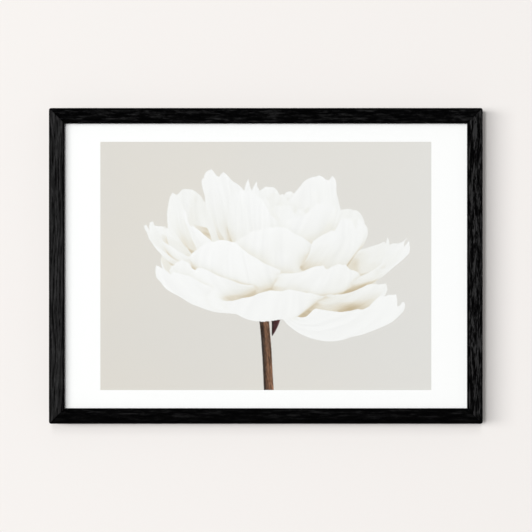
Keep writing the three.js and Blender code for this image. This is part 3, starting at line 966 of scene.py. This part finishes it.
def make_sheet():
    made = add_mesh("printed_sheet", sheet_mesh(Flower()), printed_paper(), sharp=40)
    keep(made, "printed_paper", "print_sheet")


# ---- glass and board


def bevelled_panel(name, low, high, bevel, segments, material):
    """A flat panel with its edges eased."""
    shell = bmesh.new()
    to_size = Matrix.Translation((low + high) / 2) @ Matrix.Diagonal((*(high - low), 1))
    bmesh.ops.create_cube(shell, size=1, matrix=to_size)
    settings = dict(profile=0.5, affect="EDGES", clamp_overlap=True)
    bmesh.ops.bevel(shell, geom=shell.edges[:], offset=bevel, segments=segments, **settings)
    mesh = bpy.data.meshes.new(name)
    shell.to_mesh(mesh)
    shell.free()
    return add_mesh(name, mesh, material, sharp=40)


def make_glass_and_board():
    pane = bevelled_panel("picture_glass", GLASS_LOW, GLASS_HIGH, GLASS_ARRIS, 1, clear_glass())
    keep(pane, "clear_glass", "glass_pane")
    board = bevelled_panel("fibreboard_back", BOARD_LOW, BOARD_HIGH, BOARD_ARRIS, 3, backing_fibreboard())
    keep(board, "backing_fibreboard", "backing_board")


# ---- repeated steel parts, as Geometry Nodes


class Shaper(Tree):
    """A Geometry Nodes tree under way, with named inputs for its sizes."""

    def __init__(self, name):
        super().__init__(bpy.data.node_groups.new(name, "GeometryNodeTree"))
        for way in ("INPUT", "OUTPUT"):
            self.tree.interface.new_socket("Geometry", in_out=way, socket_type="NodeSocketGeometry")
        self.start = self.tree.nodes.new("NodeGroupInput")
        self.end = self.tree.nodes.new("NodeGroupOutput")
        self.sizes = {}

    def size(self, name, value):
        """A named size of the tree, as a socket to link from."""
        made = self.tree.interface.new_socket(name, in_out="INPUT", socket_type="NodeSocketFloat")
        self.sizes[made.identifier] = value
        return Wire(self, self.start.outputs[name])

    def vector(self, x=0.0, y=0.0, z=0.0):
        return self.node("ShaderNodeCombineXYZ", inputs={0: x, 1: y, 2: z})

    def changed(self, geometry, **inputs):
        """The geometry moved or scaled."""
        return self.node("GeometryNodeTransform", inputs={"Geometry": geometry, **inputs})

    def raised(self, mesh, face, offset, scale):
        """The mesh with one face pushed out along its normal and scaled about its middle, and that face."""
        inputs = {"Mesh": mesh, "Selection": face, "Offset Scale": offset}
        pushed = self.node("GeometryNodeExtrudeMesh", inputs=inputs)
        inputs = {"Geometry": pushed, "Selection": pushed.also("Top"), "Scale": scale}
        return self.node("GeometryNodeScaleElements", inputs=inputs), pushed.also("Top")

    def flipped(self, mesh):
        return self.node("GeometryNodeFlipFaces", inputs={"Mesh": mesh})

    def joined(self, *parts):
        made = self.tree.nodes.new("GeometryNodeJoinGeometry")
        for part in reversed(parts):
            self.tree.links.new(part.socket, made.inputs[0])
        return Wire(self, made.outputs[0])

    def piece(self, name, shape, material, places, turns, sharp=35):
        """The tree's result as a plain mesh: a copy of the shape at each place, turned as its turn says."""
        turn = self.node("GeometryNodeInputNamedAttribute", {"data_type": "FLOAT_VECTOR"}, {"Name": "turn"})
        points = self.node("GeometryNodeMeshToPoints", inputs={"Mesh": Wire(self, self.start.outputs[0])})
        inputs = {"Points": points, "Instance": shape, "Rotation": turn}
        copies = self.node("GeometryNodeInstanceOnPoints", inputs=inputs)
        real = self.node("GeometryNodeRealizeInstances", inputs={"Geometry": copies})
        coated = self.node("GeometryNodeSetMaterial", inputs={"Geometry": real, "Material": material})
        self.tree.links.new(coated.socket, self.end.inputs[0])
        seeds = mesh_from(name + "_places", places, [])
        seeds.attributes.new("turn", "FLOAT_VECTOR", "POINT").data.foreach_set("vector", np.ravel(turns))
        holder = linked(name + "_holder", seeds)
        grown = holder.modifiers.new(name, "NODES")
        grown.node_group = self.tree
        for identifier, value in self.sizes.items():
            grown[identifier] = value
        mesh = grown_mesh(holder, name)
        bpy.data.objects.remove(holder)
        tidy_shell(mesh)
        return add_mesh(name, mesh, material, sharp)


def named_boxes(prefix):
    """The CAD nodes whose names start so, with the middles and the sizes of their boxes."""
    found = sorted(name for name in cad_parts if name.startswith(prefix))
    boxes = [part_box(name) for name in found]
    return found, [(low + high) / 2 for low, high in boxes], [high - low for low, high in boxes]


def make_steel_points():
    """Flexible points: strips with round ends, pressed by a die so that their edges are eased."""
    names, middles, sizes = named_boxes("steel_point")
    tree = Shaper("steel point")
    width, length = tree.size("Width", sizes[0].x), tree.size("Length", sizes[0].z)
    thickness, corner = tree.size("Thickness", sizes[0].y), tree.size("Corner", 2.0 * MM)
    ease = tree.size("Eased edge", 0.12 * MM)
    outline = tree.node("GeometryNodeCurvePrimitiveQuadrilateral", inputs={"Width": width, "Height": length})
    inputs = {"Curve": outline, "Radius": corner, "Count": 6}
    rounded = tree.node("GeometryNodeFilletCurve", {"mode": "POLY"}, inputs)
    blank = tree.node("GeometryNodeFillCurve", {"mode": "NGONS"}, {"Curve": rounded})
    scale = 1.0 - ease * 2.0 / width
    small = tree.changed(blank, Scale=tree.vector(scale, scale, 1.0))
    foot, top = tree.raised(small, True, ease, 1.0 / scale)
    body, top = tree.raised(foot, top, thickness - ease * 2.0, 1.0)
    head, _ = tree.raised(body, top, ease, scale)
    closed = tree.joined(head, tree.flipped(small))
    centred = tree.changed(closed, Translation=tree.vector(z=thickness * -0.5))
    quarters = {"bottom": 0, "left": 1, "top": 2, "right": 3}
    turns = [(math.pi / 2, quarters[name.split("_")[2]] * math.pi / 2, 0) for name in names]
    oiled = steel("point_steel", (0.030, 0.030, 0.032), (0.085, 0.083, 0.082), 0.34, 0.02 * MM, rust=0.35)
    made = tree.piece("flexible_points", centred, oiled, middles, turns)
    keep(made, "point_steel", *names)


def make_mitre_wedges():
    """V-shaped wedges, each a bent strip that stands in its mitre."""
    names, middles, sizes = named_boxes("mitre_wedge")
    tree = Shaper("mitre wedge")
    height, spread = tree.size("Height", sizes[0].y), tree.size("Spread", WEDGE_SPREAD)
    reach, thickness = tree.size("Reach", WEDGE_REACH), tree.size("Thickness", WEDGE_GAUGE)
    leg_end = thickness * -0.5
    inputs = {"Start": tree.vector(leg_end, spread), "End": tree.vector(reach + leg_end)}
    line = tree.node("GeometryNodeCurvePrimitiveLine", inputs=inputs)
    legs = []
    for leg in (line, tree.changed(line, Scale=(1, -1, 1))):
        flat = tree.node("GeometryNodeCurveToMesh", inputs={"Curve": leg})
        inputs = {"Mesh": flat, "Offset": tree.vector(thickness)}
        pushed = tree.node("GeometryNodeExtrudeMesh", {"mode": "EDGES"}, inputs)
        stood = tree.node("GeometryNodeExtrudeMesh", inputs={"Mesh": pushed, "Offset": tree.vector(z=height)})
        legs += [stood, tree.flipped(pushed)]
    whole = tree.changed(tree.joined(*legs), Translation=tree.vector(z=height * -0.5))
    stamped = steel("wedge_steel", (0.30, 0.30, 0.31), (0.52, 0.52, 0.53), 0.36, 0.03 * MM, rust=0.25)
    turns = []
    for place in middles:
        # About X to stand along Y, then about Y to point out through its corner.
        outwards = math.atan2(math.copysign(1, place.z), math.copysign(1, place.x))
        turn = Matrix.Rotation(-outwards, 3, "Y") @ Matrix.Rotation(math.pi / 2, 3, "X")
        turns.append(tuple(turn.to_euler("XYZ")))
    made = tree.piece("mitre_wedges", whole, stamped, middles, turns)
    keep(made, "wedge_steel", *names)


# ---- hangers and bumpers


def repeated(name, one, places, material, sharp):
    """Copies of one modelled part at several places, as Geometry Nodes."""
    tree = Shaper(name)
    model = tree.node("GeometryNodeObjectInfo", inputs={"Object": one}, output="Geometry")
    made = tree.piece(name, model, material, places, [(0, 0, 0)] * len(places), sharp)
    bpy.data.objects.remove(one)
    return made


def lathe(name, profile, material, around=64):
    """A solid turned about the y axis from rows of radius and y, which start and end on the axis."""
    radius, y = np.array(profile).T[:, :, None]
    turns = np.linspace(0, 2 * math.pi, around, endpoint=False)
    rings = np.stack([radius * np.cos(turns), y + 0 * turns, radius * np.sin(turns)], axis=-1)
    return tube(name, rings, material, sharp=35)


def screw_model(material):
    """A pan-head screw about the y axis, with a tapered cross recess."""
    seat, head = TAIL_Y + 0.1 * MM, SCREW_HEAD_HEIGHT
    dome = [
        (SCREW_HEAD_RADIUS * math.sin(a) ** 0.55, seat + head * (0.42 + 0.58 * math.cos(a)))
        for a in np.radians(np.linspace(90, 0, 12))
    ]
    tip = BACK_Y - SCREW_LENGTH
    profile = [(0, tip), (SCREW_RADIUS, tip + SCREW_POINT), (SCREW_RADIUS, seat)]
    profile += [(SCREW_HEAD_RADIUS - 0.12 * MM, seat), (SCREW_HEAD_RADIUS, seat + 0.12 * MM), *dome]
    made = lathe("screw_model", profile, material)
    for turn in (0, 90):
        recess = bmesh.new()
        bmesh.ops.create_cube(recess, size=1)
        for corner in recess.verts:
            long, wide, level = (1, 1, 1.2) if corner.co.y > 0 else (0.62, 0.75, 0.30)
            corner.co.x *= RECESS_LENGTH * long
            corner.co.z *= RECESS_WIDTH * wide
            corner.co.y = seat + head * level
        mesh = bpy.data.meshes.new("recess")
        recess.to_mesh(mesh)
        recess.free()
        mesh.transform(Matrix.Rotation(math.radians(turn + RECESS_TURN), 4, "Y"))
        cut_with(made, mesh)
    return made


def strap_model(material):
    """A strip folded double round the ring's bar, with its round end below. The hinge axis is z = 0."""
    thick, half, ease = STRAP_GAUGE, STRAP_WIDTH / 2, STRAP_EASE
    middle = STRAP_BORE + thick / 2
    front, back = EYE_Y - middle, EYE_Y - middle + thick
    end = -STRAP_LENGTH
    down = end + (half - half * np.cos(np.radians(np.linspace(0, 90, 14))))
    rows = [(front, z) for z in down] + [(front, z) for z in np.linspace(down[-1], 0, 12)[1:]]
    rows += arc((EYE_Y, 0), middle, 180, -90, 40)[1:]
    rows += arc((EYE_Y, -middle - thick), thick, 90, 180, 9)[1:]
    rows += [(back, z) for z in np.linspace(-middle - thick, down[-1], 10)[1:]]
    rows += [(back, z) for z in down[::-1][1:]]
    path = np.array(rows)
    over = right_hand(path)
    # Half the strap's width at each point of the path: full, and then round at its end.
    round_end = np.minimum(path[:, 1:] - (end + half), 0)
    widths = np.sqrt(np.maximum(half**2 - round_end**2, STRAP_TIP**2))
    h, lip = thick / 2 - 0.012 * MM, 0.45 * ease
    edge = [(half - ease, -h), (half - lip, -h + lip), (half, -h + ease)]
    edge += [(x, -y) for x, y in edge[::-1]]
    section = np.array(edge + [(-x, -y) for x, y in edge])
    # An eased edge keeps its size where the strip narrows.
    x = np.sign(section[:, 0]) * np.maximum(widths - (half - np.abs(section[:, 0])), 0)
    y = path[:, :1] + over[:, :1] * section[:, 1]
    z = path[:, 1:] + over[:, 1:] * section[:, 1]
    return tube("strap_model", np.stack([x, y, z], axis=-1), material, sharp=50)


def ring_path():
    """The ring's centre line as (x, z), from one side of its gap round to the other."""
    half, corner = RING_HALF_WIDTH, RING_CORNER
    bow = RING_REACH - half
    side = [(x, 0) for x in np.linspace(RING_GAP / 2, half - corner, 8)]
    side += arc((half - corner, corner), corner, -90, 0, 15)[1:]
    side += [(half, z) for z in np.linspace(corner, bow, 5)[1:]]
    side += arc((0, bow), half, 0, 90, 28)[1:]
    return np.array(side + [(-x, z) for x, z in side[::-1][1:]])


def make_ring(name, x, body, material):
    path = ring_path()
    aside = right_hand(path)
    turns = np.linspace(0, 2 * math.pi, 28, endpoint=False)[None, :]
    cos_turn, sin_turn = WIRE_RADIUS * np.cos(turns), WIRE_RADIUS * np.sin(turns)
    ring_x = x + path[:, :1] + aside[:, :1] * cos_turn
    ring_y = EYE_Y + sin_turn + 0 * path[:, :1]
    ring_z = HANGER_Z + path[:, 1:] + aside[:, 1:] * cos_turn
    made = tube(name, np.stack([ring_x, ring_y, ring_z], axis=-1), material, sharp=50)
    keep(made, "nickelled_steel", f"hanger_{name}", body=body)


def make_hangers():
    nickel = steel("nickelled_steel", (0.40, 0.395, 0.38), (0.62, 0.615, 0.60), 0.22, 0.012 * MM, rust=0.10)
    places = [(-HANGER_X, 0, HANGER_Z), (HANGER_X, 0, HANGER_Z)]
    straps = repeated("hanger_straps", strap_model(nickel), places, nickel, sharp=50)
    keep(straps, "nickelled_steel", "hanger_strap_left", "hanger_strap_right")
    places = [(x, 0, z - SCREW_DROP) for x, _, z in places]
    screws = repeated("hanger_screws", screw_model(nickel), places, nickel, sharp=35)
    keep(screws, "nickelled_steel", "hanger_screw_left", "hanger_screw_right")
    make_ring("ring_left", -HANGER_X, "left_ring", nickel)
    make_ring("ring_right", HANGER_X, "right_ring", nickel)


def make_bumpers():
    """Two soft stick-on bumpers, with a little waist and a rounded foot."""
    names, middles, sizes = named_boxes("bumper")
    radius, start, foot = sizes[0].x / 2, middles[0].y - sizes[0].y / 2, 0.9 * MM
    profile = [(0, start), (radius - 0.25 * MM, start), (radius, start + 0.2 * MM)]
    profile += [(radius, start + 0.9 * MM), (radius - 0.12 * MM, start + 1.3 * MM)]
    profile += [(radius - 0.45 * MM, -0.95 * MM)]
    profile += arc((radius - 0.5 * MM - foot, -foot), foot, 8, 90, 9)
    profile += [(radius * 0.4, -0.04 * MM), (0, -0.09 * MM)]
    places = [(middle.x, 0, middle.z) for middle in middles]
    rubber = soft_rubber()
    one = lathe("bumper_model", profile, rubber, around=72)
    keep(repeated("wall_bumpers", one, places, rubber, sharp=45), "rubber", *names)


# ---- stage, light and camera


def plane(name, corners, material):
    made = add_mesh(name, mesh_from(name, corners, [[0, 1, 2, 3]]), material)
    return made


def make_stage():
    corners = ((-ROOM_X, 0), (ROOM_X, 0), (ROOM_X, 1), (-ROOM_X, 1))
    wall = [(x, WALL_GAP, ROOM_Z if far else FLOOR_Z) for x, far in corners]
    floor = [(x, ROOM_Y if far else -ROOM_Y, FLOOR_Z) for x, far in corners]
    plane("wall", wall, plain_wall())
    plane("floor", floor, pale_floor()).visible_diffuse = False


def area_lamp(name, azimuth, elevation, distance, width, height, light):
    """A soft lamp aimed at the frame. azimuth is in degrees to the viewer's right of straight on, and light
    is what the lamp alone adds to a white surface that faces it."""
    lamp = bpy.data.lights.new(name, "AREA")
    lamp.shape = "RECTANGLE"
    lamp.size, lamp.size_y = width, height
    lamp.energy = light * math.pi**2 * distance**2
    a, e = math.radians(azimuth), math.radians(elevation)
    towards = Vector((math.sin(a) * math.cos(e), -math.cos(a) * math.cos(e), math.sin(e)))
    made = linked(name, lamp)
    made.location = towards * distance
    made.rotation_euler = towards.to_track_quat("Z", "Y").to_euler()
    return made


def make_light():
    world = bpy.data.worlds.new("pale_studio")
    bpy.context.scene.world = world
    world.use_nodes = True
    tree = Tree(world.node_tree)
    world.node_tree.nodes.clear()
    inputs = {"Color": (1.0, 0.99, 0.98, 1), "Strength": WORLD_LIGHT}
    lighting = tree.node("ShaderNodeBackground", inputs=inputs)
    # Where nothing stands behind the frame, the view ends in a pale backdrop.
    backdrop = tree.node("ShaderNodeBackground", inputs={"Color": (*FLOOR_PAINT, 1)})
    seen = tree.node("ShaderNodeLightPath", output="Is Camera Ray")
    mixed = tree.node("ShaderNodeMixShader", inputs={0: seen, 1: lighting, 2: backdrop})
    tree.tree.links.new(mixed.socket, tree.tree.nodes.new("ShaderNodeOutputWorld").inputs["Surface"])
    for name, lamp in FRONT_LAMPS.items():
        made = area_lamp(name, *lamp)
        # The glass shows no lamp, in its front face or, through the glass, in its back one.
        made.visible_glossy = False
        made.visible_transmission = False
    for name, lamp in BACK_LAMPS.items():
        area_lamp(name, *lamp)


def make_camera():
    camera = bpy.data.cameras.new("straight_on")
    camera.lens, camera.sensor_width = LENS, SENSOR
    camera.dof.use_dof = False
    camera.clip_start, camera.clip_end = 0.01, 50
    made = linked("straight_on", camera)
    made.location = (VIEW_X, FRONT_Y - VIEW_WIDTH * LENS / SENSOR, VIEW_Z)
    made.rotation_euler = (math.pi / 2, 0, 0)
    bpy.context.scene.camera = made


bpy.context.scene.view_settings.view_transform = "Standard"
make_rails()
make_sheet()
make_glass_and_board()
make_steel_points()
make_mitre_wedges()
make_hangers()
make_bumpers()
make_stage()
make_light()
make_camera()
